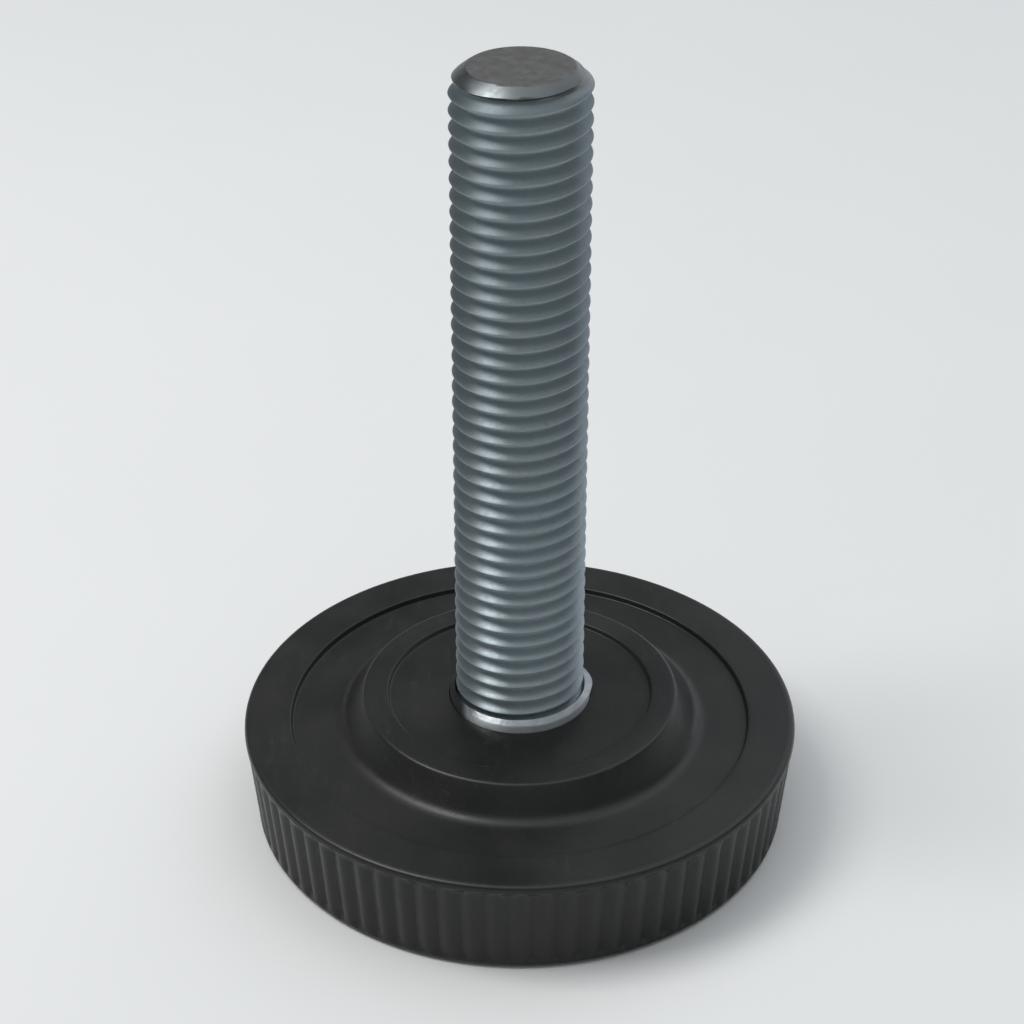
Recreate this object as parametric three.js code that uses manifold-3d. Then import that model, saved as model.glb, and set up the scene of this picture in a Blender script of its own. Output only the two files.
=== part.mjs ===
// A furniture leveling foot, in millimetres, +Z up, standing on z = 0.
//
// An M12 x 1.5 stud is screwed into a hex insert nut, which is moulded into a round serrated base. The
// base is turned by hand to set the height. It turns on a glide pad that snaps into it from below and
// stays still on the floor, on a soft sole.

import * as THREE from "three";
import { mergeVertices } from "three/addons/utils/BufferGeometryUtils.js";
import Module from "manifold-3d";

const wasm = await Module();
wasm.setup();

// Driving dimensions.
const BASE_R = 26; // the rim, the widest place of the foot
const RIM_TOP = 10; // height of the flat band along the rim
const STUD_TOP = 74;
const THREAD_R = 6; // M12
const PITCH = 1.5;
const CLEARANCE = 0.3; // running gap between the base and the glide pad
const MOULD_GAP = 0.1; // gap drawn between pieces that are moulded, glued or screwed together

// Heights, from the floor up.
const SKIRT_BOTTOM = 0.4;
const SOLE_TOP = 0.8;
const PAD_TOP = 2.3;
const SOCKET_BOTTOM = PAD_TOP + CLEARANCE;
const SOCKET_LIP_TOP = SOCKET_BOTTOM + 1.7;
const INSERT_BOTTOM = 5.2;
const PLATE_UNDERSIDE = 7.5; // the ceiling of the space inside the base
const INSERT_SHOULDER = 10.2; // where the hexagon ends and the round neck starts
const DISH_FLOOR = RIM_TOP - 0.5; // the band between the rim and the hub
const HUB_FLOOR = RIM_TOP + 2; // the shallow recess around the stud
const HUB_RIDGE = HUB_FLOOR + 0.4;
const NECK_TOP = HUB_FLOOR + 1.3;

// Radii, from the axis outwards.
const NECK_R = 6.6; // the thin collar that stands out of the plastic round the stud
const COLLAR_BEVEL = 0.45; // off the collar's upper edge
const HEX_ACROSS_FLATS = 18;
const BOSS_R = 12; // the plastic around the insert
const FINGER_INNER_R = 13;
const FINGER_R = 14.2;
const BARB_R = 14.8;
const SOCKET_LIP_R = BARB_R - 0.4; // the lip that the barbs hook behind
const SOCKET_R = BARB_R + CLEARANCE;
const SOCKET_OUTER_R = 16.6;
const SKIRT_INNER_R = 23.2;
const PAD_R = SKIRT_INNER_R - CLEARANCE;
const RECESS_R = 12.35; // the steps on top of the base: the recess round the stud, the ridge round it
const RIDGE_R = 14.7;
const HUB_R = 16.8; // where the hub's slope meets the dish
const RIM_INNER_R = 21.55;

// Repeats and roundness.
const SERRATIONS = 76;
const SERRATION_DEPTH = 0.35;
const STEP_HALF_WIDTH = 0.1; // the steps on top of the base are steep: twice this wide
const BASE_RIBS = 18;
const RIB_THICKNESS = 1.4;
const OVERLAP = 0.5; // how far a rib reaches into the walls that it joins
const FINGERS = 6;
const BASE_SIDES = SERRATIONS; // sides of the round shapes, one for each serration on the base
const PAD_SIDES = 48;
const STUD_SIDES = 32;

const zincPlate = new THREE.MeshStandardMaterial({ color: 0x9aa3ab, roughness: 0.35, metalness: 1 });
const blackPlastic = new THREE.MeshStandardMaterial({ color: 0x17181a, roughness: 0.42, metalness: 0 });
const greyPlastic = new THREE.MeshStandardMaterial({ color: 0x25262a, roughness: 0.55, metalness: 0 });
const blackRubber = new THREE.MeshStandardMaterial({ color: 0x121212, roughness: 0.9, metalness: 0 });

// A three.js geometry as a closed manifold-3d solid.
function solid(geometry) {
  const bare = geometry.index ? geometry.toNonIndexed() : geometry.clone();
  bare.deleteAttribute("normal");
  bare.deleteAttribute("uv");
  const merged = mergeVertices(bare, 1e-4);
  const triVerts = new Uint32Array(merged.index.array);
  const vertProperties = merged.attributes.position.array;
  return new wasm.Manifold(new wasm.Mesh({ numProp: 3, vertProperties, triVerts }));
}

// The finished piece: a named mesh made from a manifold-3d solid.
function piece(name, shape, material) {
  const { vertProperties, triVerts } = shape.getMesh();
  const geometry = new THREE.BufferGeometry();
  geometry.setAttribute("position", new THREE.BufferAttribute(vertProperties, 3));
  geometry.setIndex(new THREE.BufferAttribute(triVerts, 1));
  geometry.computeVertexNormals();
  const mesh = new THREE.Mesh(geometry, material);
  mesh.name = name;
  return mesh;
}

// An outline through corners of [radius, height], each rounded to its third number if it has one.
function outline(corners) {
  return corners.flatMap(([r, z, rounding], i) => {
    const corner = new THREE.Vector2(r, z);
    if (!rounding) return [corner];
    const [before, after] = [corners[i - 1], corners[i + 1]].map(([x, y]) =>
      new THREE.Vector2(x, y).sub(corner).normalize(),
    );
    const setback = rounding / Math.tan(Math.acos(before.dot(after)) / 2);
    const start = corner.clone().addScaledVector(before, setback);
    const end = corner.clone().addScaledVector(after, setback);
    return new THREE.QuadraticBezierCurve(start, corner, end).getPoints(2);
  });
}

// A solid turned about Z. The corners run from the bottom outwards and up, on the axis or round a ring.
function turned(corners, sides) {
  const points = outline(corners);
  if (points[0].x > 0) points.push(points[0].clone());
  return solid(new THREE.LatheGeometry(points, sides).rotateX(Math.PI / 2));
}

// A plain ring, or a disc where the inner radius is 0.
function ring(inner, outer, bottom, top, sides) {
  return turned([[inner, bottom], [outer, bottom], [outer, top], [inner, top]], sides);
}

// A regular hexagonal prism with two corners on the X axis.
function hexagon(acrossFlats, bottom, top) {
  const corner = acrossFlats / Math.sqrt(3);
  const shape = new THREE.Shape();
  for (let i = 0; i < 6; i++) {
    const angle = (i * Math.PI) / 3;
    shape[i ? "lineTo" : "moveTo"](corner * Math.cos(angle), corner * Math.sin(angle));
  }
  const prism = new THREE.ExtrudeGeometry(shape, { depth: top - bottom, bevelEnabled: false });
  return solid(prism.translate(0, 0, bottom));
}

// Radial walls: count boxes of one thickness, spread evenly around the axis.
function spokes(count, thickness, inner, outer, bottom, top) {
  const walls = [];
  for (let i = 0; i < count; i++) {
    const wall = new THREE.BoxGeometry(outer - inner, thickness, top - bottom);
    wall.translate((inner + outer) / 2, 0, (bottom + top) / 2);
    walls.push(solid(wall.rotateZ((i * 2 * Math.PI) / count)));
  }
  return walls.reduce((all, wall) => all.add(wall));
}

// A helical screw thread about Z, closed at both ends, longer than the piece that is cut from it.
function screwThread(bottom, top) {
  const columns = 16;
  const crestHalf = PITCH / 16;
  const rootHalf = PITCH / 8;
  const rootR = THREAD_R - 0.6134 * PITCH;
  // One pitch of the thread's edge, going up: root, crest, and the slopes between them.
  const profile = [
    [rootR, -rootHalf],
    [rootR, rootHalf],
    [THREAD_R, PITCH / 2 - crestHalf],
    [THREAD_R, PITCH / 2 + crestHalf],
  ];
  const rows = profile.length * (Math.ceil((top - bottom) / PITCH) + 1);
  const positions = [];
  for (let column = 0; column < columns; column++) {
    const angle = (column / columns) * 2 * Math.PI;
    for (let row = 0; row < rows + profile.length; row++) {
      const [r, dz] = profile[row % profile.length];
      const turns = Math.floor(row / profile.length) - 1 + column / columns;
      positions.push(r * Math.cos(angle), r * Math.sin(angle), bottom + turns * PITCH + dz);
    }
  }
  const stride = rows + profile.length;
  const bottomCentre = columns * stride;
  const topCentre = bottomCentre + 1;
  positions.push(0, 0, bottom - PITCH / 2, 0, 0, bottom + (stride / profile.length - 1.5) * PITCH);

  // The last column meets the first one a full turn on, so one pitch higher up.
  const at = (column, row) =>
    column < columns ? column * stride + row : row + profile.length;
  const faces = [];
  for (let column = 0; column < columns; column++) {
    for (let row = 0; row < rows - 1; row++) {
      const [a, b] = [at(column, row), at(column + 1, row)];
      faces.push(a, b, b + 1, a, b + 1, a + 1);
    }
    faces.push(at(column, 0), bottomCentre, at(column + 1, 0));
    faces.push(at(column, rows - 1), at(column + 1, rows - 1), topCentre);
  }
  // The step of one pitch that each end face leaves along the first column.
  for (let row = 0; row < profile.length; row++) {
    faces.push(row + 1, bottomCentre, row);
    faces.push(rows - 1 + row, topCentre, rows + row);
  }
  const geometry = new THREE.BufferGeometry();
  geometry.setAttribute("position", new THREE.Float32BufferAttribute(positions, 3));
  geometry.setIndex(faces);
  return solid(geometry);
}

function threadedStud() {
  const bottom = INSERT_BOTTOM + 0.6; // the stud stops a little short of the insert's lower face
  const chamfer = 1.5; // on the top end, a little rounded
  const blank = turned(
    [
      [0, bottom],
      [THREAD_R - 0.9, bottom],
      [THREAD_R + 0.1, bottom + 1],
      [THREAD_R + 0.1, STUD_TOP - chamfer],
      [THREAD_R - 0.3 * chamfer, STUD_TOP - 0.5 * chamfer],
      [THREAD_R - chamfer, STUD_TOP],
      [0, STUD_TOP],
    ],
    STUD_SIDES,
  );
  return screwThread(bottom, STUD_TOP).intersect(blank);
}

// The insert's outer shape, a little larger by grow for the pocket that the plastic forms round it.
function insertBody(grow) {
  const nut = hexagon(HEX_ACROSS_FLATS + 2 * grow, INSERT_BOTTOM - grow, INSERT_SHOULDER + grow);
  const rounding = turned(
    [
      [0, INSERT_BOTTOM - grow],
      [HEX_ACROSS_FLATS / 2 + grow, INSERT_BOTTOM - grow],
      [HEX_ACROSS_FLATS / 2 + 1.5 + grow, INSERT_BOTTOM + 0.8],
      [HEX_ACROSS_FLATS / 2 + 1.5 + grow, INSERT_SHOULDER - 0.8],
      [HEX_ACROSS_FLATS / 2 + grow, INSERT_SHOULDER + grow],
      [0, INSERT_SHOULDER + grow],
    ],
    STUD_SIDES,
  );
  const neck = turned(
    [
      [0, INSERT_SHOULDER - 1],
      [NECK_R + grow, INSERT_SHOULDER - 1],
      [NECK_R + grow, NECK_TOP + grow - COLLAR_BEVEL, 0.2],
      [NECK_R + grow - COLLAR_BEVEL, NECK_TOP + grow],
      [0, NECK_TOP + grow],
    ],
    STUD_SIDES,
  );
  return nut.intersect(rounding).add(neck);
}

function hexInsertNut() {
  const bore = ring(0, THREAD_R + 0.1, INSERT_BOTTOM - 1, NECK_TOP + 1, STUD_SIDES);
  return insertBody(0).subtract(bore);
}

// The band of fine upright teeth around the base, narrower towards the bottom like the base itself.
function serrationBand(bottom, top, wallR, taper) {
  const shape = new THREE.Shape();
  for (let i = 0; i < 2 * SERRATIONS; i++) {
    const angle = (i * Math.PI) / SERRATIONS;
    const r = wallR + (i % 2 ? SERRATION_DEPTH : 0);
    shape[i ? "lineTo" : "moveTo"](r * Math.cos(angle), r * Math.sin(angle));
  }
  const hole = new THREE.Path().absarc(0, 0, wallR - 1, 0, 2 * Math.PI, true);
  shape.holes.push(hole);
  const band = new THREE.ExtrudeGeometry(shape, {
    depth: top - bottom,
    bevelEnabled: false,
    curveSegments: BASE_SIDES,
  });
  const position = band.attributes.position;
  for (let i = 0; i < position.count; i++) {
    const narrowing = 1 - (taper * (top - bottom - position.getZ(i))) / wallR;
    position.setX(i, position.getX(i) * narrowing);
    position.setY(i, position.getY(i) * narrowing);
  }
  return solid(band.translate(0, 0, bottom));
}

function serratedBase() {
  const rimOverhang = 0.1; // the smooth rim stands this far out over the serrations
  const wallR = BASE_R - SERRATION_DEPTH - rimOverhang;
  const taper = 0.09; // millimetres of radius lost for each millimetre down the side
  const bandTop = RIM_TOP - 0.9;
  const bandBottom = SKIRT_BOTTOM + 0.4;
  const skirtR = wallR - taper * (bandTop - SKIRT_BOTTOM);
  const body = turned(
    [
      // Underside: the boss below the insert, the snap socket, the ribbed space and the skirt.
      [0, INSERT_BOTTOM],
      [BOSS_R, INSERT_BOTTOM],
      [BOSS_R, PLATE_UNDERSIDE],
      [SOCKET_R, PLATE_UNDERSIDE],
      [SOCKET_R, SOCKET_LIP_TOP],
      [SOCKET_LIP_R, SOCKET_LIP_TOP - 0.3],
      [SOCKET_LIP_R, SOCKET_BOTTOM + 0.5],
      [SOCKET_LIP_R + 0.5, SOCKET_BOTTOM],
      [SOCKET_OUTER_R, SOCKET_BOTTOM],
      [SOCKET_OUTER_R, PLATE_UNDERSIDE],
      [SKIRT_INNER_R, PLATE_UNDERSIDE],
      [SKIRT_INNER_R, SKIRT_BOTTOM],
      [skirtR, SKIRT_BOTTOM],
      // The side and the smooth rim above the serrations.
      [wallR, bandTop],
      [BASE_R, bandTop + 0.3],
      [BASE_R, RIM_TOP, 0.5],
      // The top: rim band, dish, hub ridge and the recess around the stud.
      [RIM_INNER_R + STEP_HALF_WIDTH, RIM_TOP, 0.15],
      [RIM_INNER_R - STEP_HALF_WIDTH, DISH_FLOOR, 0.15],
      [HUB_R, DISH_FLOOR, 1.6],
      [RIDGE_R, HUB_RIDGE, 0.4],
      [RECESS_R + STEP_HALF_WIDTH, HUB_RIDGE, 0.15],
      [RECESS_R - STEP_HALF_WIDTH, HUB_FLOOR, 0.15],
      [0, HUB_FLOOR],
    ],
    BASE_SIDES,
  );
  const ribs = spokes(
    BASE_RIBS,
    RIB_THICKNESS,
    SOCKET_OUTER_R - OVERLAP,
    SKIRT_INNER_R + OVERLAP,
    SOCKET_BOTTOM + CLEARANCE,
    PLATE_UNDERSIDE + OVERLAP,
  );
  return body
    .add(serrationBand(bandBottom, bandTop, wallR, taper))
    .add(ribs)
    .subtract(insertBody(MOULD_GAP));
}

function glidePad() {
  const root = PAD_TOP - OVERLAP;
  const barbBottom = SOCKET_LIP_TOP + CLEARANCE;
  const fingerTop = barbBottom + 1.6;
  const bearingR = 9.2;
  const slotWidth = 4;
  const bearingTop = INSERT_BOTTOM - CLEARANCE;
  const plate = ring(0, PAD_R, SOLE_TOP + MOULD_GAP, PAD_TOP, PAD_SIDES);
  // The ring of snap fingers, hooked outwards at the top, before the slots part them.
  const fingerRing = turned(
    [
      [FINGER_INNER_R, root],
      [FINGER_R, root],
      [FINGER_R, barbBottom],
      [BARB_R, barbBottom + 0.2],
      [BARB_R, barbBottom + 0.6],
      [FINGER_R - 0.3, fingerTop],
      [FINGER_INNER_R, fingerTop],
    ],
    PAD_SIDES,
  );
  const slots = spokes(FINGERS, slotWidth, FINGER_INNER_R - 1, BARB_R + 1, PAD_TOP, fingerTop + 1);
  // The ribbed pedestal under the insert and the stud, which carries the furniture's weight.
  const pedestal = ring(bearingR - 2, bearingR, root, bearingTop, PAD_SIDES);
  const pedestalRibs = spokes(FINGERS, RIB_THICKNESS, 0, bearingR - 1, root, bearingTop);
  return plate.add(fingerRing.subtract(slots)).add(pedestal).add(pedestalRibs);
}

// A disc with a shallow grip groove in its underside.
function antiSlipSole() {
  const grooveR = 15;
  const grooveWidth = 1.2;
  const grooveDepth = 0.35;
  const disc = ring(0, PAD_R - CLEARANCE, 0, SOLE_TOP, PAD_SIDES);
  const groove = ring(grooveR, grooveR + grooveWidth, -1, grooveDepth, PAD_SIDES);
  return disc.subtract(groove);
}

const foot = new THREE.Group();
foot.name = "leveling_foot";
foot.add(
  piece("threaded_stud", threadedStud(), zincPlate),
  piece("hex_insert_nut", hexInsertNut(), zincPlate),
  piece("serrated_base", serratedBase(), blackPlastic),
  piece("glide_pad", glidePad(), greyPlastic),
  piece("anti_slip_sole", antiSlipSole(), blackRubber),
);

export default foot;
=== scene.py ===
"""The looks of a furniture leveling foot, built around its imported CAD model.

A zinc-plated M12 stud is screwed into a hex insert nut, which is moulded into a black serrated base. The
base snaps over a glide pad with a soft sole. Outlines are drawn in millimetres and made in metres.
"""

from math import cos, pi, radians, sin

import bmesh
import bpy
import numpy as np
from mathutils import Matrix, Vector


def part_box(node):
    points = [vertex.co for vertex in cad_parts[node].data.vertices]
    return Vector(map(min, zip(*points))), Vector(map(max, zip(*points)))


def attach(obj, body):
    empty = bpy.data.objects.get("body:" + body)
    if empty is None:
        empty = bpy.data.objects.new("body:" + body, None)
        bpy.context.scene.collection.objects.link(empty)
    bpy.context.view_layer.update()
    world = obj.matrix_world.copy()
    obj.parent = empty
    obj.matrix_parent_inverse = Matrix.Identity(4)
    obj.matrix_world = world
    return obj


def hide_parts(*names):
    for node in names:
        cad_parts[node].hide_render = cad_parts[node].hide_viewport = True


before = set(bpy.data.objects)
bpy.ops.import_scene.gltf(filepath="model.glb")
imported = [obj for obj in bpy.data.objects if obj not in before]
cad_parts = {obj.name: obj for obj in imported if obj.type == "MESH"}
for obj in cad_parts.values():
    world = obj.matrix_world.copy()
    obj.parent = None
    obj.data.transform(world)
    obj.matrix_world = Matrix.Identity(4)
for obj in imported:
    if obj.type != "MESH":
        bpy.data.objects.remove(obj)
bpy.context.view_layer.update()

MM = 0.001

# Sizes that come from the frame, in millimetres.


def node_box(node):
    """The widest radius, the lowest and the highest point of a CAD node."""
    low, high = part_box(node)
    return high.x / MM, low.z / MM, high.z / MM


THREAD_R, STUD_BOTTOM, STUD_TOP = node_box("threaded_stud")
BASE_R, SKIRT_BOTTOM, HUB_RIDGE = node_box("serrated_base")
_, INSERT_BOTTOM, NECK_TOP = node_box("hex_insert_nut")
PAD_R, PAD_BOTTOM, FINGER_TOP = node_box("glide_pad")
SOLE_R, SOLE_BOTTOM, SOLE_TOP = node_box("anti_slip_sole")

# Sizes inside those boxes, as on the CAD model.
PITCH = 1.5
THREAD_DEPTH = 0.6134 * PITCH  # of an ISO metric thread
ROOT_R = THREAD_R - THREAD_DEPTH
STUD_CHAMFER = 1.5
GAP = 0.1  # between pieces that are moulded, glued or screwed together
CLEARANCE = 0.3  # between the base and the glide pad

RIM_TOP = HUB_RIDGE - 2.4
RIM_BAND = 0.9  # the smooth band along the rim, above the serrations
DISH_FLOOR = RIM_TOP - 0.5
HUB_FLOOR = HUB_RIDGE - 0.4
PLATE_UNDERSIDE = RIM_TOP - 2.5
SOCKET_BOTTOM = 2.6
SOCKET_LIP_TOP = 4.3
INSERT_SHOULDER = 10.2
PAD_TOP = SOCKET_BOTTOM - CLEARANCE

NECK_R = 6.6
HEX_ACROSS_FLATS = 18
BOSS_R = 12
RECESS_R = 12.35
FINGER_INNER_R = 13
FINGER_R = 14.2
RIDGE_R = 14.7
BARB_R = 14.8
SOCKET_LIP_R = BARB_R - 0.4
SOCKET_R = BARB_R + CLEARANCE
SOCKET_OUTER_R = 16.6
HUB_R = 16.8
RIM_INNER_R = 21.55
SKIRT_INNER_R = PAD_R + CLEARANCE

SERRATIONS = 76
SERRATION_DEPTH = 0.35
STEP_HALF_WIDTH = 0.1
COLLAR_BEVEL = 0.45
BASE_RIBS = 18
FINGERS = 6
BURR_ANGLE = 0.15  # where the insert's collar is bent outwards, in radians from +X towards +Y


# Mesh making.


def outline(corners):
    """Points through corners of (radius, height, rounding), each rounded off where it has a rounding."""
    steps = 6
    points = []
    for i, corner in enumerate(corners):
        place = Vector(corner[:2])
        if len(corner) == 2:
            points.append(place)
            continue
        before = (Vector(corners[i - 1][:2]) - place).normalized()
        after = (Vector(corners[i + 1][:2]) - place).normalized()
        setback = corner[2] / np.tan(before.angle(after) / 2)
        for t in np.linspace(0, 1, steps + 1):
            start = place + before * setback * (1 - t)
            end = place + after * setback * t
            points.append(start * (1 - t) + end * t)
    return points


def refined(points, step):
    """The same outline with points added, so that none are further apart than the step."""
    fine = []
    for start, end in zip(points, points[1:]):
        count = max(1, int(np.ceil((end - start).length / step)))
        fine += [start.lerp(end, i / count) for i in range(count)]
    return fine + [points[-1]]


def mesh_object(name, vertices, faces):
    """A smooth-shaded object from vertices in millimetres, with doubled vertices and flat faces gone."""
    sharp_edge = radians(35)
    mesh = bpy.data.meshes.new(name)
    mesh.from_pydata([tuple(vertex) for vertex in np.asarray(vertices) * MM], [], faces)
    work = bmesh.new()
    work.from_mesh(mesh)
    bmesh.ops.remove_doubles(work, verts=work.verts, dist=2e-6)
    bmesh.ops.dissolve_degenerate(work, edges=work.edges, dist=1e-6)
    bmesh.ops.recalc_face_normals(work, faces=work.faces)
    work.to_mesh(mesh)
    work.free()
    mesh.shade_smooth()
    mesh.set_sharp_from_angle(angle=sharp_edge)
    piece = bpy.data.objects.new(name, mesh)
    bpy.context.scene.collection.objects.link(piece)
    return piece


def grid_faces(rows, columns, closed):
    """Quads between the rings of a grid whose vertices run ring by ring."""
    faces = []
    for row in range(rows if closed else rows - 1):
        below, above = row * columns, (row + 1) % rows * columns
        for column in range(columns):
            after = (column + 1) % columns
            faces.append((below + column, below + after, above + after, above + column))
    return faces


def turned(name, strips, columns):
    """A piece turned about Z. Each strip is (outline, warp), and they follow each other round the section.

    The section closes on itself, or starts and ends on the axis. A warp bends its strip's rings: it takes
    their radii, heights and angles and gives the new radii and heights.
    """
    angles = np.arange(columns) * 2 * pi / columns
    rings = []
    for points, warp in strips:
        for r, z in points:
            radii, heights = np.full(columns, r), np.full(columns, z)
            if warp:
                radii, heights = warp(radii, heights, angles)
            rings.append(np.stack([radii * np.cos(angles), radii * np.sin(angles), heights], axis=1))
    closed = strips[0][0][0][0] > 0
    return mesh_object(name, np.concatenate(rings), grid_faces(len(rings), columns, closed))


def waves(angles, seed, orders=range(1, 7)):
    """A smooth irregular curve, mostly between -1 and 1. Whole orders make it close round the axis."""
    random = np.random.default_rng(seed)
    total = sum(random.uniform(0.4, 1) * np.sin(k * angles + random.uniform(0, 2 * pi)) for k in orders)
    return 2 * total / len(orders)


def from_nearest(angles, count):
    """The angle from each column to the nearest of count evenly spread features."""
    spacing = 2 * pi / count
    return np.abs((angles + spacing / 2) % spacing - spacing / 2)


def hump(angles, centre, width):
    """A round hump, 1 high, that stands in one direction."""
    away = (angles - centre + pi) % (2 * pi) - pi
    return np.exp(-((away / width) ** 2))


def smoothstep(low, high, value):
    """A smooth rise from 0 where the value is low to 1 where it is high. Low may be the larger number."""
    t = np.clip((value - low) / (high - low), 0, 1)
    return t * t * (3 - 2 * t)


def hexagon_radius(angles, across_flats):
    """How far a hexagon with corners on the X axis reaches at each angle."""
    return across_flats / 2 / np.cos(pi / 6 - from_nearest(angles, 6))


# The pieces that move together: base, insert and stud.


def thread_radius(phase):
    """Radius of the rolled thread along one pitch: a round root at phase 0 and a round crest at 0.5."""
    root_end, crest_start = 0.17, 0.86
    rounding = 0.1
    rise = 1 - np.abs(2 * phase - 1)
    flank = (rise - root_end) / (crest_start - root_end)
    above_root = rounding * np.log1p(np.exp(flank / rounding))
    below_crest = above_root - rounding * np.log1p(np.exp((above_root - 1) / rounding))
    return ROOT_R + THREAD_DEPTH * below_crest


def stud_blank_radius(heights):
    """The turned blank that the thread is rolled on: a rounded chamfer on top and a plain one below."""
    curvature = 1.6
    lower_chamfer = 0.9
    below_top = np.minimum((STUD_TOP - heights) / STUD_CHAMFER, 1)
    top = THREAD_R - STUD_CHAMFER * (1 - below_top) ** curvature
    bottom = THREAD_R - lower_chamfer + (heights - STUD_BOTTOM)
    return np.minimum(top, bottom)


def threaded_stud():
    columns = 96
    rows_per_pitch = 14
    turns = np.arange(columns) / columns
    angles = turns * 2 * pi
    pitches = int(np.ceil((STUD_TOP - STUD_BOTTOM) / PITCH)) + 1
    rows = pitches * rows_per_pitch
    rings = []
    for row in range(rows + 1):
        phase = row % rows_per_pitch / rows_per_pitch
        climb = STUD_BOTTOM + (row / rows_per_pitch - 1 + turns) * PITCH
        heights = np.clip(climb, STUD_BOTTOM, STUD_TOP)
        along_thread = angles + 2 * pi * row / rows_per_pitch
        wear = 0.01 + 0.01 * waves(along_thread, seed=4, orders=(0.13, 0.37, 0.71, 1.9, 3.3, 5.2))
        radii = np.minimum(thread_radius(phase) - np.maximum(wear, 0), stud_blank_radius(heights))
        rings.append(np.stack([radii * np.cos(angles), radii * np.sin(angles), heights], axis=1))
    vertices = np.concatenate(rings)
    faces = []
    for row in range(rows):
        for column in range(columns - 1):
            a = row * columns + column
            faces.append((a, a + 1, a + 1 + columns, a + columns))
        # One turn on, the last column meets the first one a whole pitch higher up.
        a, b = row * columns + columns - 1, (row + rows_per_pitch) * columns
        if row + 1 + rows_per_pitch <= rows:
            faces.append((a, b, b + columns, a + columns))
    stud = mesh_object("stud_thread", vertices, faces)
    close_ends(stud)
    return stud


def close_ends(stud):
    """Caps the stud: a plain lower end, and an upper end face cut by a saw and slightly dished."""
    bare_steel = 1  # the stud's second material
    most_corners = 20  # of any face but the two caps
    work = bmesh.new()
    work.from_mesh(stud.data)
    edges = [edge for edge in work.edges if edge.is_boundary]
    bmesh.ops.holes_fill(work, edges=edges, sides=0)
    bmesh.ops.recalc_face_normals(work, faces=work.faces)
    for face in [face for face in work.faces if len(face.verts) > most_corners]:
        if face.normal.z > 0.9:
            face.material_index = bare_steel
            dish_end(work, face)
    work.to_mesh(stud.data)
    work.free()


def dish_end(work, face):
    """Rings inside the end face, each a little lower, with an uneven surface."""
    random = np.random.default_rng(5)
    for thickness, depth in ((0.15, 0.02), (0.7, 0.05), (1.0, 0.03), (1.0, 0.02), (1.0, 0.02)):
        inset = bmesh.ops.inset_region(work, faces=[face], thickness=thickness * MM, use_even_offset=True)
        for vertex in face.verts:
            vertex.co.z -= (depth + random.uniform(0, 0.006)) * MM
        for ring_face in inset["faces"]:
            ring_face.material_index = face.material_index
    bmesh.ops.poke(work, faces=[face])


def hex_pocket(grow):
    """A warp that gives the insert's lower part its six sides, with the corners chamfered off."""
    corner_reach = 1.3  # past the flats, in millimetres
    chamfer_slope = 2  # millimetres of reach lost for each millimetre nearer to an end

    def warp(radii, heights, angles):
        flat_r = HEX_ACROSS_FLATS / 2 + grow
        nearest_end = np.minimum(heights - INSERT_BOTTOM + grow, INSERT_SHOULDER + grow - heights)
        limit = flat_r + np.minimum(corner_reach, chamfer_slope * np.maximum(nearest_end, 0))
        sides = hexagon_radius(angles, HEX_ACROSS_FLATS + 2 * grow)
        return np.minimum(sides, limit), heights

    return warp


def hex_side(grow):
    """The upright side of the insert's hexagon, from the bottom up."""
    low, high = INSERT_BOTTOM - grow, INSERT_SHOULDER + grow
    flat_r = HEX_ACROSS_FLATS / 2
    return refined([Vector((flat_r, low)), Vector((flat_r, high))], 0.4)


def hex_insert_nut():
    bore_r = THREAD_R + GAP

    def worn(radii, heights, angles):
        """Upsets the collar: a burr on one side, beaten down on the other, nicked all round."""
        raised = smoothstep(HUB_FLOOR + 0.1, NECK_TOP - 0.3, heights)
        outside = smoothstep(bore_r, NECK_R, radii)
        burr = 0.3 * hump(angles, BURR_ANGLE, 0.3)
        beaten = 0.3 * hump(angles, pi, 0.9)
        nicks = 0.06 * waves(angles, seed=12, orders=range(9, 30))
        radii = radii + raised * outside * (burr - beaten + 0.07 * waves(angles, seed=3) + nicks)
        return radii, heights - raised * (0.12 + beaten + 0.06 * waves(angles, seed=8) + nicks)

    neck = outline(
        [
            (NECK_R, INSERT_SHOULDER),
            (NECK_R, HUB_FLOOR + 0.1),
            (NECK_R, NECK_TOP - COLLAR_BEVEL, 0.3),
            (bore_r, NECK_TOP, 0.08),
            (bore_r - 0.05, NECK_TOP - 0.3),
            (bore_r, INSERT_BOTTOM + 0.4),
            (bore_r + 0.4, INSERT_BOTTOM),
        ]
    )
    return turned("insert_nut", [(hex_side(0), hex_pocket(0)), (refined(neck, 0.3), worn)], 144)


def serrated(radii, heights, angles):
    """A warp that presses the upright grooves into the side, fading out towards the rim and the foot."""
    sharpness = 1.3
    groove_top = RIM_TOP - RIM_BAND
    fade_top = smoothstep(groove_top + 0.15, groove_top - 0.25, heights)
    fade_bottom = smoothstep(SKIRT_BOTTOM + 0.25, SKIRT_BOTTOM + 0.7, heights)
    tooth = np.abs(np.cos(angles * SERRATIONS / 2)) ** sharpness
    return radii - SERRATION_DEPTH * fade_top * fade_bottom * (1 - tooth), heights


def ribbed(radii, heights, angles):
    """A warp that brings the ribs down from the ceiling inside the base."""
    half_width = 0.7 / SKIRT_INNER_R
    rib = smoothstep(half_width + radians(0.55), half_width, from_nearest(angles, BASE_RIBS))
    rib_bottom = SOCKET_BOTTOM + CLEARANCE
    return radii, heights - rib * np.maximum(heights - rib_bottom, 0)


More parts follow.
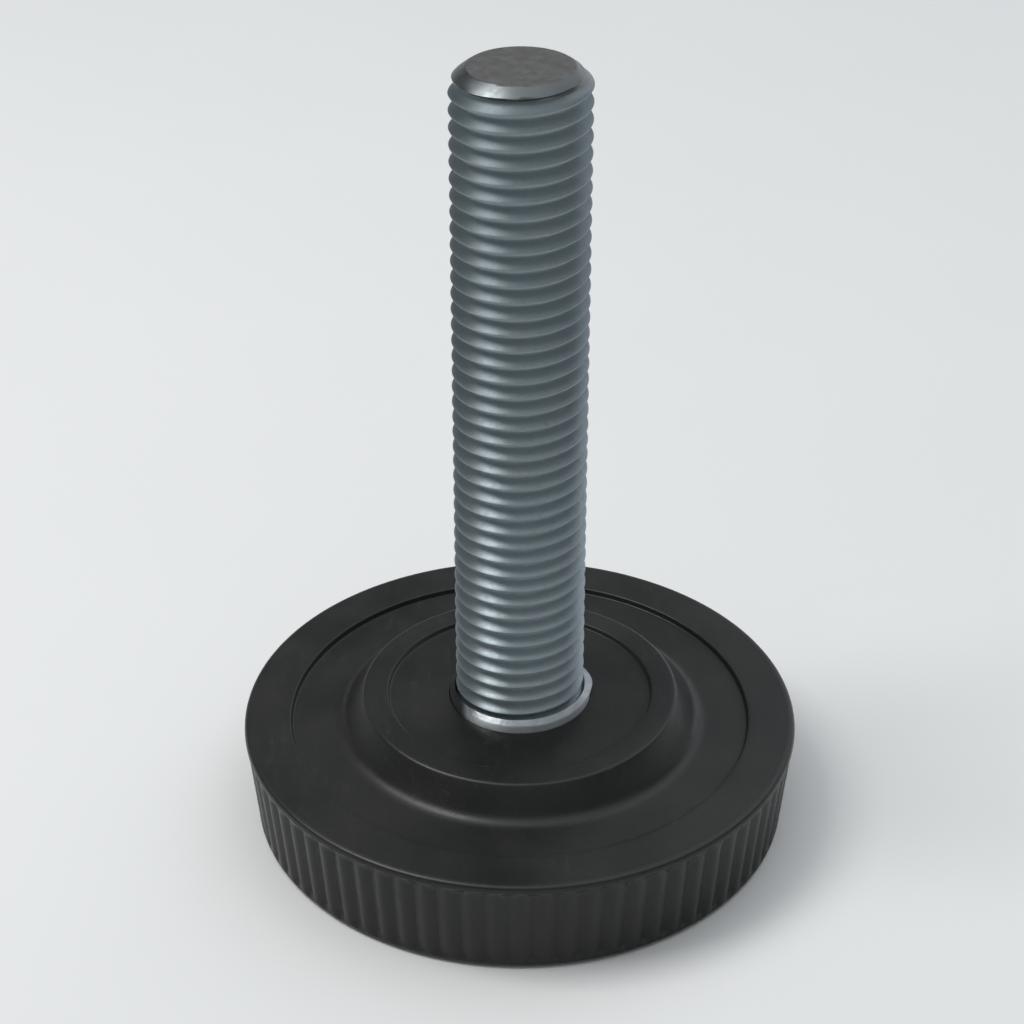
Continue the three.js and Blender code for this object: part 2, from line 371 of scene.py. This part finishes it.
def serrated_base():
    taper = 0.09  # millimetres of radius lost for each millimetre down the side
    wall_r = BASE_R - 0.1
    skirt_r = wall_r - taper * (RIM_TOP - RIM_BAND - SKIRT_BOTTOM)
    underside = outline(
        [
            (HEX_ACROSS_FLATS / 2 + 1.6, INSERT_BOTTOM),
            (BOSS_R, INSERT_BOTTOM, 0.3),
            (BOSS_R, PLATE_UNDERSIDE, 0.4),
            (SOCKET_R, PLATE_UNDERSIDE, 0.4),
            (SOCKET_R, SOCKET_LIP_TOP, 0.1),
            (SOCKET_LIP_R, SOCKET_LIP_TOP - 0.3, 0.1),
            (SOCKET_LIP_R, SOCKET_BOTTOM + 0.5, 0.1),
            (SOCKET_LIP_R + 0.5, SOCKET_BOTTOM, 0.1),
            (SOCKET_OUTER_R, SOCKET_BOTTOM),
        ]
    )
    ribs = refined(
        [
            Vector((SOCKET_OUTER_R, SOCKET_BOTTOM + 0.1)),
            Vector((SOCKET_OUTER_R, PLATE_UNDERSIDE)),
            Vector((SKIRT_INNER_R, PLATE_UNDERSIDE)),
            Vector((SKIRT_INNER_R, SKIRT_BOTTOM + 0.3)),
        ],
        0.8,
    )
    side = outline(
        [
            (SKIRT_INNER_R + 0.3, SKIRT_BOTTOM),
            (skirt_r, SKIRT_BOTTOM, 0.25),
            (wall_r, RIM_TOP - RIM_BAND, 0.1),
            (BASE_R, RIM_TOP - RIM_BAND + 0.3, 0.1),
            (BASE_R, RIM_TOP, 0.5),
            (BASE_R - 1, RIM_TOP),
        ]
    )
    top = outline(
        [
            (BASE_R - 1.2, RIM_TOP),
            (RIM_INNER_R + STEP_HALF_WIDTH, RIM_TOP, 0.15),
            (RIM_INNER_R - STEP_HALF_WIDTH, DISH_FLOOR, 0.15),
            (HUB_R, DISH_FLOOR, 1.6),
            (RIDGE_R, HUB_RIDGE, 0.4),
            (RECESS_R + STEP_HALF_WIDTH, HUB_RIDGE, 0.15),
            (RECESS_R - STEP_HALF_WIDTH, HUB_FLOOR, 0.15),
            (NECK_R + GAP / 2, HUB_FLOOR, 0.05),
            (NECK_R + GAP / 2, INSERT_SHOULDER + GAP),
        ]
    )
    pocket = hex_side(GAP)[::-1]
    pocket[-1] = Vector((pocket[-1].x, INSERT_BOTTOM))
    strips = [
        (underside, None),
        (ribs, ribbed),
        (refined(side, 0.3), serrated),
        (refined(top, 0.6), None),
        (pocket, hex_pocket(GAP)),
    ]
    return turned("base_knob", strips, SERRATIONS * 10)


# The pieces that stay still on the floor: glide pad and sole.


def slotted(radii, heights, angles):
    """A warp that cuts the ring of snap fingers down to the plate between the fingers."""
    half_width = 2 / FINGER_R
    slot = smoothstep(half_width + radians(1.3), half_width, from_nearest(angles, FINGERS))
    return radii, heights - slot * np.maximum(heights - PAD_TOP, 0)


def star(radii, heights, angles):
    """A warp that raises six ribs inside the pedestal, all of one thickness."""
    off_rib = radii * np.sin(np.minimum(from_nearest(angles, FINGERS), pi / 2))
    rib = smoothstep(0.85, 0.65, off_rib)
    top = INSERT_BOTTOM - CLEARANCE
    return radii, heights + rib * (top - heights)


def glide_pad():
    pedestal_r = 9.2
    pedestal_top = INSERT_BOTTOM - CLEARANCE
    barb_bottom = SOCKET_LIP_TOP + CLEARANCE
    plate = outline(
        [
            (0, PAD_BOTTOM),
            (PAD_R, PAD_BOTTOM, 0.2),
            (PAD_R, PAD_TOP, 0.4),
            (FINGER_R + 0.4, PAD_TOP),
        ]
    )
    fingers = outline(
        [
            (FINGER_R, PAD_TOP, 0.2),
            (FINGER_R, barb_bottom, 0.1),
            (BARB_R, barb_bottom + 0.2, 0.1),
            (BARB_R, barb_bottom + 0.6, 0.2),
            (FINGER_R - 0.3, FINGER_TOP, 0.2),
            (FINGER_INNER_R, FINGER_TOP, 0.2),
            (FINGER_INNER_R, PAD_TOP, 0.2),
            (FINGER_INNER_R - 0.5, PAD_TOP),
        ]
    )
    pedestal = outline(
        [
            (pedestal_r + 0.5, PAD_TOP),
            (pedestal_r, PAD_TOP, 0.3),
            (pedestal_r, pedestal_top, 0.2),
            (pedestal_r - 2, pedestal_top, 0.2),
            (pedestal_r - 2, pedestal_top - 0.5),
        ]
    )
    inside = refined([Vector((pedestal_r - 2, PAD_TOP)), Vector((0, PAD_TOP))], 0.25)
    strips = [
        (refined(plate, 1.5), None),
        (refined(fingers, 0.4), slotted),
        (pedestal, None),
        (inside, star),
    ]
    return turned("glide", strips, 360)


def anti_slip_sole():
    groove_r, groove_width, groove_depth = 15, 1.2, 0.35
    section = outline(
        [
            (0, SOLE_BOTTOM),
            (groove_r, SOLE_BOTTOM, 0.1),
            (groove_r, SOLE_BOTTOM + groove_depth, 0.1),
            (groove_r + groove_width, SOLE_BOTTOM + groove_depth, 0.1),
            (groove_r + groove_width, SOLE_BOTTOM, 0.1),
            (SOLE_R, SOLE_BOTTOM, 0.25),
            (SOLE_R, SOLE_TOP, 0.15),
            (0, SOLE_TOP),
        ]
    )

    def uneven(radii, heights, angles):
        edge = smoothstep(SOLE_R - 1, SOLE_R, radii)
        return radii - 0.08 * edge * (1 + waves(angles, seed=21, orders=range(2, 14))), heights

    return turned("sole", [(refined(section, 1.2), uneven)], 240)


# Materials.

TOOL_MARKS = 0.94  # how far fine tool marks draw out a highlight, from 0 to 1


def add(tree, kind, inputs, **settings):
    """A shader node. Each input is a constant, or another node's output that is linked to it."""
    made = tree.nodes.new("ShaderNode" + kind)
    for name, value in settings.items():
        setattr(made, name, value)
    for name, value in inputs.items():
        if isinstance(value, bpy.types.NodeSocket):
            tree.links.new(value, made.inputs[name])
        else:
            made.inputs[name].default_value = value
    return made


def new_material(name, constants):
    """A Principled material, its node tree and its shader, with the sockets that stay constant set."""
    material = bpy.data.materials.new(name)
    material.use_nodes = True
    tree = material.node_tree
    shader = tree.nodes["Principled BSDF"]
    for socket, value in constants.items():
        shader.inputs[socket].default_value = value
    return material, tree, shader


def object_position(tree, stretch=(1, 1, 1)):
    """Place on the piece, in metres, with each axis stretched."""
    position = add(tree, "TexCoord", {}).outputs["Object"]
    return add(tree, "Mapping", {"Vector": position, "Scale": stretch}).outputs["Vector"]


def axis_distance(tree):
    """Distance from the foot's axis, in metres."""
    flat = object_position(tree, (1, 1, 0))
    return add(tree, "VectorMath", {0: flat}, operation="LENGTH").outputs["Value"]


def place(tree, axis):
    """Place on the piece along X, Y or Z, in metres."""
    return add(tree, "SeparateXYZ", {0: object_position(tree)}).outputs[axis]


def noise(tree, grain, detail=3, stretch=(1, 1, 1), roughness=0.5):
    """Cloudy noise whose spots are about grain millimetres wide."""
    inputs = {
        "Vector": object_position(tree, stretch),
        "Scale": 1 / (grain * MM),
        "Detail": detail,
        "Roughness": roughness,
    }
    return add(tree, "TexNoise", inputs).outputs["Fac"]


def ramp(tree, value, start, end, low=0.0, high=1.0):
    """A number from low to high as the value goes from start to end, smooth at both ends."""
    inputs = {"Value": value, "From Min": start, "From Max": end, "To Min": low, "To Max": high}
    return add(tree, "MapRange", inputs, interpolation_type="SMOOTHSTEP").outputs["Result"]


def multiply(tree, a, b):
    """The product of two numbers."""
    return add(tree, "Math", {0: a, 1: b}, operation="MULTIPLY").outputs["Value"]


def plus(tree, a, b):
    """The sum of two numbers."""
    return add(tree, "Math", {0: a, 1: b}, operation="ADD").outputs["Value"]


def mixed(tree, factor, first, second):
    """The first colour where the factor is 0 and the second where it is 1."""
    mix = add(tree, "Mix", {"Factor": factor}, data_type="RGBA")
    for socket, colour in zip((mix.inputs[6], mix.inputs[7]), (first, second)):
        if isinstance(colour, bpy.types.NodeSocket):
            tree.links.new(colour, socket)
        else:
            socket.default_value = (*colour, 1)
    return mix.outputs[2]


def bump(tree, height, depth, below=None):
    """A normal from a height, whose full range is depth millimetres, on top of another normal."""
    inputs = {"Height": height, "Distance": depth * MM, "Strength": 1}
    if below:
        inputs["Normal"] = below
    return add(tree, "Bump", inputs).outputs["Normal"]


def finish_material(tree, shader, colour, roughness, normal):
    """Links what varies over a material to its shader."""
    tree.links.new(colour, shader.inputs["Base Color"])
    tree.links.new(roughness, shader.inputs["Roughness"])
    tree.links.new(normal, shader.inputs["Normal"])


def machined(tree, shader):
    """Fine tool marks that run round the axis, so that highlights are drawn out across them."""
    shader.inputs["Anisotropic"].default_value = TOOL_MARKS
    shader.inputs["Anisotropic Rotation"].default_value = 0.25
    around = add(tree, "Tangent", {}, direction_type="RADIAL", axis="Z").outputs["Tangent"]
    tree.links.new(around, shader.inputs["Tangent"])


def zinc_plate():
    """Bluish zinc, spotted on the crests, with painted light lifting the thread roots, duller towards the
    top, and a dark, smooth chamfer.
    """
    material, tree, shader = new_material("zinc_plate", {"Metallic": 1})
    machined(tree, shader)
    depth = ramp(tree, axis_distance(tree), ROOT_R * MM, THREAD_R * MM)
    clouds = noise(tree, 5, detail=4)
    specks = noise(tree, 0.35, detail=5, roughness=0.65)
    plating = mixed(tree, clouds, (0.345, 0.42, 0.45), (0.42, 0.47, 0.505))
    stained = mixed(tree, ramp(tree, specks, 0.56, 0.72), plating, (0.38, 0.385, 0.41))
    # Painted light: the thread roots get a lighter, bluer colour than the crests, lifting the shade
    # between the threads.
    thread_painted_lit_roots = mixed(tree, ramp(tree, depth, 0.0, 0.55), (0.41, 0.485, 0.51), stained)
    rolling_marks = noise(tree, 0.5, stretch=(0.15, 0.15, 6))
    height = place(tree, "Z")
    handled = ramp(tree, height, 0.2 * STUD_TOP * MM, STUD_TOP * MM, 0, 0.22)
    chamfer_start = STUD_TOP - STUD_CHAMFER
    chamfered = ramp(tree, height, (chamfer_start - 0.1) * MM, (chamfer_start + 0.6) * MM)
    colour = mixed(tree, chamfered, thread_painted_lit_roots, (0.17, 0.185, 0.19))
    tree.links.new(ramp(tree, chamfered, 0, 1, TOOL_MARKS, 0.1), shader.inputs["Anisotropic"])
    polished_end = ramp(tree, chamfered, 0, 1, 0, -0.36)
    dullness = plus(tree, ramp(tree, depth, 0.2, 0.9, 0.5, 0.44), plus(tree, handled, polished_end))
    roughness = plus(tree, dullness, ramp(tree, specks, 0.35, 0.75, -0.03, 0.08))
    normal = bump(tree, specks, 0.003, bump(tree, rolling_marks, 0.006))
    finish_material(tree, shader, colour, roughness, normal)
    return material


def cut_steel():
    """The bare, tarnished steel of the stud's sawn end."""
    material, tree, shader = new_material("cut_steel", {"Metallic": 0.75})
    tarnish = noise(tree, 1.3, detail=6, roughness=0.65)
    saw_marks = noise(tree, 0.6, detail=2, stretch=(0.08, 3, 1))
    bare = mixed(tree, saw_marks, (0.12, 0.112, 0.108), (0.17, 0.165, 0.16))
    colour = mixed(tree, ramp(tree, tarnish, 0.3, 0.75), bare, (0.24, 0.24, 0.245))
    roughness = ramp(tree, tarnish, 0.3, 0.7, 0.62, 0.42)
    normal = bump(tree, saw_marks, 0.05, bump(tree, tarnish, 0.03))
    finish_material(tree, shader, colour, roughness, normal)
    return material


def insert_zinc():
    """Satin zinc on the insert, clouded and scratched, with painted shade darkening the -X side of its
    collar.
    """
    material, tree, shader = new_material("insert_zinc", {"Metallic": 1})
    machined(tree, shader)
    clouds = noise(tree, 1.6, detail=5, roughness=0.6)
    scratches = noise(tree, 0.25, detail=4, stretch=(1, 1, 0.2))
    plating = mixed(tree, clouds, (0.50, 0.54, 0.57), (0.66, 0.69, 0.71))
    scratched = mixed(tree, ramp(tree, scratches, 0.62, 0.8), plating, (0.34, 0.35, 0.36))
    # Painted shade: the collar's colour goes to near black towards -X, standing in for the shadow on that
    # side.
    shaded_end_x, unshaded_end_x = -0.84 * NECK_R * MM, -0.72 * NECK_R * MM
    unshaded = ramp(tree, place(tree, "X"), shaded_end_x, unshaded_end_x)
    colour = mixed(tree, unshaded, (0.11, 0.115, 0.12), scratched)
    roughness = ramp(tree, clouds, 0.3, 0.7, 0.52, 0.40)
    normal = bump(tree, scratches, 0.01, bump(tree, clouds, 0.05))
    finish_material(tree, shader, colour, roughness, normal)
    return material


def black_plastic():
    """Black moulded plastic, half glossy on top and duller on its side, with dust and small scuffs."""
    material, tree, shader = new_material("black_plastic", {"IOR": 1.5})
    clouds = noise(tree, 9, detail=4)
    grain = noise(tree, 0.16, detail=3, roughness=0.6)
    turning_marks = add(
        tree,
        "TexNoise",
        {"W": multiply(tree, axis_distance(tree), 1 / (0.35 * MM)), "Scale": 1, "Detail": 2},
        noise_dimensions="1D",
    ).outputs["Fac"]
    scuffs = noise(tree, 0.9, detail=6, stretch=(1, 0.25, 1), roughness=0.7)
    body = mixed(tree, clouds, (0.0075, 0.008, 0.008), (0.012, 0.0122, 0.0105))
    facing_up = add(tree, "SeparateXYZ", {0: add(tree, "NewGeometry", {}).outputs["Normal"]}).outputs["Z"]
    dust = multiply(tree, ramp(tree, facing_up, 0.6, 1), ramp(tree, clouds, 0.35, 0.7, 0.25, 1))
    dusty = mixed(tree, multiply(tree, dust, 0.5), body, (0.021, 0.021, 0.018))
    colour = mixed(tree, ramp(tree, scuffs, 0.62, 0.8, 0, 0.8), dusty, (0.05, 0.05, 0.05))
    roughness = plus(tree, ramp(tree, clouds, 0.3, 0.7, 0.30, 0.41), ramp(tree, scuffs, 0.5, 0.8, 0, 0.2))
    tree.links.new(ramp(tree, facing_up, 0.2, 0.7, 0.36, 0.5), shader.inputs["Specular IOR Level"])
    normal = bump(tree, grain, 0.012, bump(tree, turning_marks, 0.004))
    finish_material(tree, shader, colour, roughness, normal)
    return material


def pad_plastic():
    """The glide pad's matt dark-grey plastic."""
    material, tree, shader = new_material("pad_plastic", {"IOR": 1.5})
    clouds = noise(tree, 6, detail=4)
    grain = noise(tree, 0.2, detail=4, roughness=0.6)
    colour = mixed(tree, clouds, (0.018, 0.019, 0.021), (0.030, 0.030, 0.031))
    roughness = ramp(tree, grain, 0.3, 0.7, 0.48, 0.62)
    finish_material(tree, shader, colour, roughness, bump(tree, grain, 0.02))
    return material


def sole_rubber():
    """Black rubber with a dusty, grainy skin."""
    material, tree, shader = new_material("sole_rubber", {"IOR": 1.45})
    dust = noise(tree, 3, detail=6, roughness=0.65)
    grain = noise(tree, 0.3, detail=5, roughness=0.7)
    colour = mixed(tree, ramp(tree, dust, 0.4, 0.75), (0.012, 0.012, 0.012), (0.050, 0.047, 0.043))
    roughness = ramp(tree, dust, 0.3, 0.7, 0.78, 0.95)
    finish_material(tree, shader, colour, roughness, bump(tree, grain, 0.06))
    return material


# The studio.


def add_floor():
    half = 6000  # millimetres, far enough out to meet the horizon
    corners = [(-half, -half, 0), (half, -half, 0), (half, half, 0), (-half, half, 0)]
    floor = mesh_object("floor", corners, [(0, 1, 2, 3)])
    material, tree, shader = new_material("pale_floor", {"Roughness": 0.85, "Specular IOR Level": 0.2})
    colour = mixed(tree, noise(tree, 40, detail=4), (0.92, 0.92, 0.92), (0.95, 0.95, 0.95))
    tree.links.new(colour, shader.inputs["Base Color"])
    floor.data.materials.append(material)


def add_light(name, azimuth, elevation, distance, width, height, radiance, colour):
    """A flat lamp that faces the middle of the foot. Azimuth is counted from +X towards +Y."""
    turn, rise = radians(azimuth), radians(elevation)
    direction = Vector((cos(rise) * cos(turn), cos(rise) * sin(turn), sin(rise)))
    light = bpy.data.lights.new(name, "AREA")
    light.shape = "RECTANGLE"
    light.size = width
    light.size_y = height
    light.energy = radiance * pi * width * height
    light.color = colour
    lamp = bpy.data.objects.new(name, light)
    lamp.location = Vector((0, 0, STUD_TOP * MM / 2)) + direction * distance
    lamp.rotation_euler = direction.to_track_quat("Z", "Y").to_euler()
    bpy.context.scene.collection.objects.link(lamp)


def add_world(horizon, shaded_horizon, walls, zenith):
    """A pale backdrop near the horizon, in shade towards -X, dim walls above it and a bright ceiling."""
    world = bpy.data.worlds.new("studio")
    world.use_nodes = True
    tree = world.node_tree
    direction = add(tree, "TexCoord", {}).outputs["Generated"]
    across, _, height = add(tree, "SeparateXYZ", {0: direction}).outputs
    backdrop = mixed(tree, ramp(tree, across, -0.75, 0.25), shaded_horizon, horizon)
    sides = mixed(tree, ramp(tree, height, 0.12, 0.32), backdrop, walls)
    colour = mixed(tree, ramp(tree, height, 0.5, 1), sides, zenith)
    tree.links.new(colour, tree.nodes["Background"].inputs["Color"])
    bpy.context.scene.world = world


def add_camera(aim, distance, elevation, lens):
    """A camera on the -Y side that looks down at the aim from the elevation."""
    camera = bpy.data.objects.new("camera", bpy.data.cameras.new("camera"))
    tilt = Matrix.Rotation(radians(90 - elevation), 4, "X")
    camera.matrix_world = Matrix.Translation(aim) @ tilt @ Matrix.Translation((0, 0, distance))
    camera.data.lens = lens
    camera.data.sensor_width = 36
    camera.data.clip_start = 0.01
    bpy.context.scene.collection.objects.link(camera)
    bpy.context.scene.camera = camera


def dress(piece, body, node, slot, *materials):
    """Puts a finished piece in a CAD node's place."""
    for material in materials:
        piece.data.materials.append(material)
    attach(piece, body)
    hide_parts(node)


dress(threaded_stud(), "hand_wheel", "threaded_stud", "zinc_plated_stud", zinc_plate(), cut_steel())
dress(hex_insert_nut(), "hand_wheel", "hex_insert_nut", "zinc_plated_insert", insert_zinc())
dress(serrated_base(), "hand_wheel", "serrated_base", "black_base_plastic", black_plastic())
dress(glide_pad(), "glide", "glide_pad", "pad_plastic", pad_plastic())
dress(anti_slip_sole(), "glide", "anti_slip_sole", "sole_rubber", sole_rubber())

add_floor()
add_world(
    horizon=(0.74, 0.76, 0.77),
    shaded_horizon=(0.42, 0.43, 0.44),
    walls=(0.10, 0.105, 0.11),
    zenith=(0.92, 0.97, 0.99),
)
add_light("key", -174, 58, distance=0.55, width=0.24, height=0.26, radiance=6.6, colour=(1, 0.985, 0.96))
add_light("window", 54, 30, distance=0.9, width=0.7, height=0.7, radiance=0.58, colour=(0.90, 0.93, 1))
aim = Vector((-0.73, 0, 0.43 * STUD_TOP)) * MM
add_camera(aim, distance=0.211, elevation=31.5, lens=82.4)
bpy.context.scene.view_settings.view_transform = "Standard"
